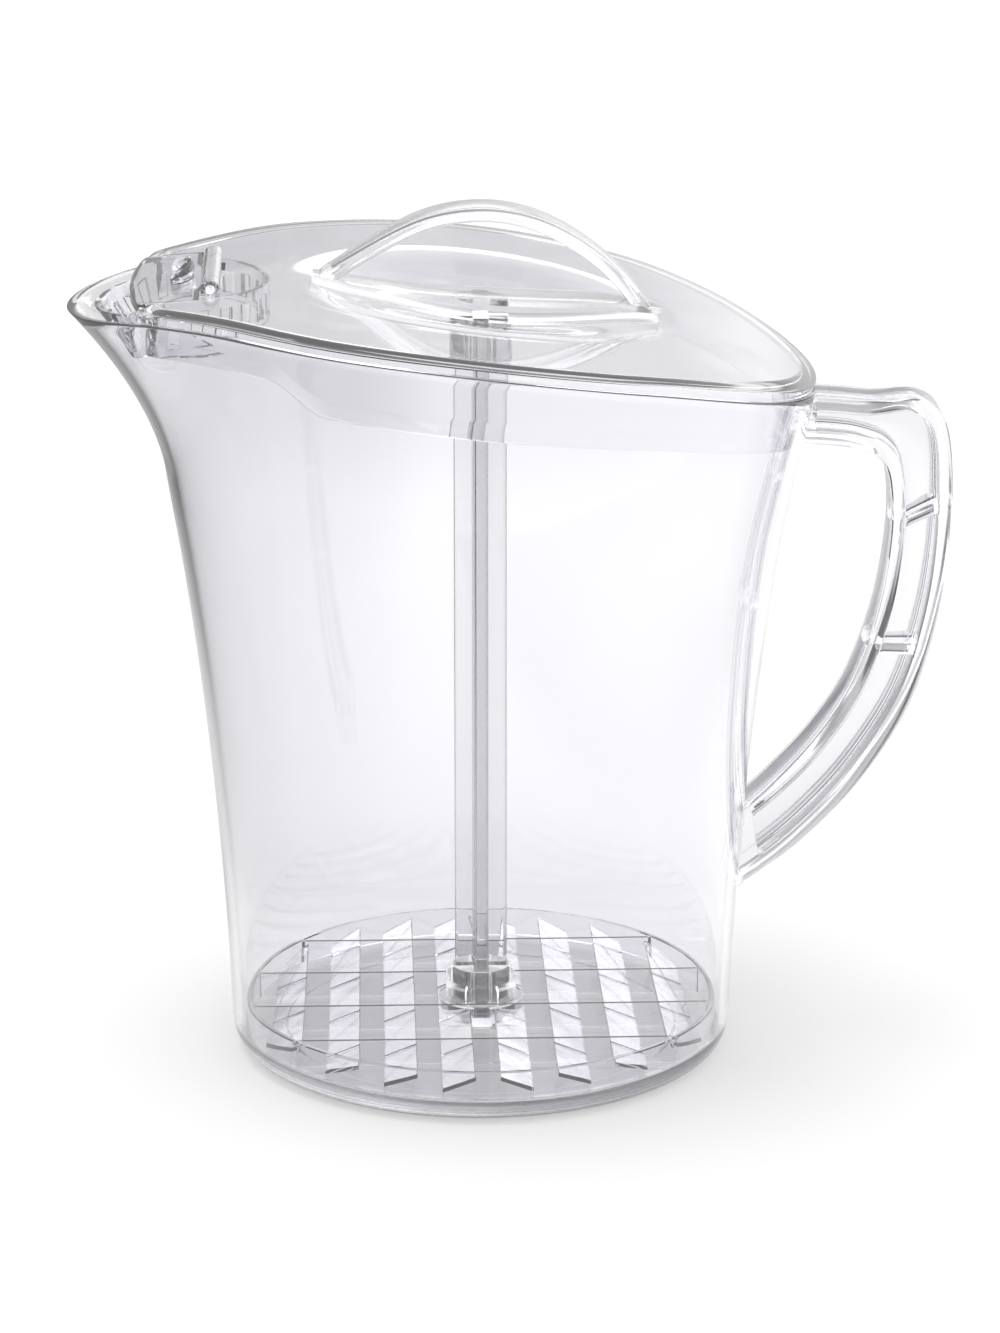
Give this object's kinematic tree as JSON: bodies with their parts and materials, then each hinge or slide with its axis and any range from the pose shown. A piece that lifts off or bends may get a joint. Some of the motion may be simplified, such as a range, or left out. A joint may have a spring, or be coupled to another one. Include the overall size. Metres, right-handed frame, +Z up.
{
  "type": "quick stir pitcher",
  "caption": "Clear pitcher with a spout and side handle, a lift-off lid with a flip-up spout cap and strainer, and a plunger whose slatted disc mixes the drink.",
  "frame": {"origin": "centre of the flat underside, on the axis of the plunger rod", "axes": "+Z up along the plunger rod, +X towards the body handle, the spout on the -X side, +Y to the left of someone who looks along +X"},
  "size_m": [0.2488, 0.1886, 0.2465],
  "materials": {
    "clear_plastic": "clear and glossy"
  },
  "bodies": {
    "pitcher": {"pitcher_body": "clear_plastic", "body_handle": "clear_plastic"},
    "lid_set": {"lid": "clear_plastic", "spout_strainer": "clear_plastic", "cap_hinge_pin": "clear_plastic"},
    "cap": {"spout_cap": "clear_plastic"},
    "plunger": {"plunger_grip": "clear_plastic", "plunger_rod": "clear_plastic", "mixing_disc": "clear_plastic"}
  },
  "joints": [
    {"name": "lid_lift", "type": "slide", "parent": "pitcher", "child": "lid_set", "axis": [0, 0, 1], "range_m": [0, 0.24]},
    {"name": "plunger_slide", "type": "slide", "parent": "lid_set", "child": "plunger", "axis": [0, 0, 1], "range_m": [0, 0.172]},
    {"name": "cap_flip", "type": "hinge", "parent": "lid_set", "child": "cap", "pos_m": [-0.0747, 0, 0.22753], "axis": [0, 1, 0], "range_deg": [0, 100]}
  ]
}
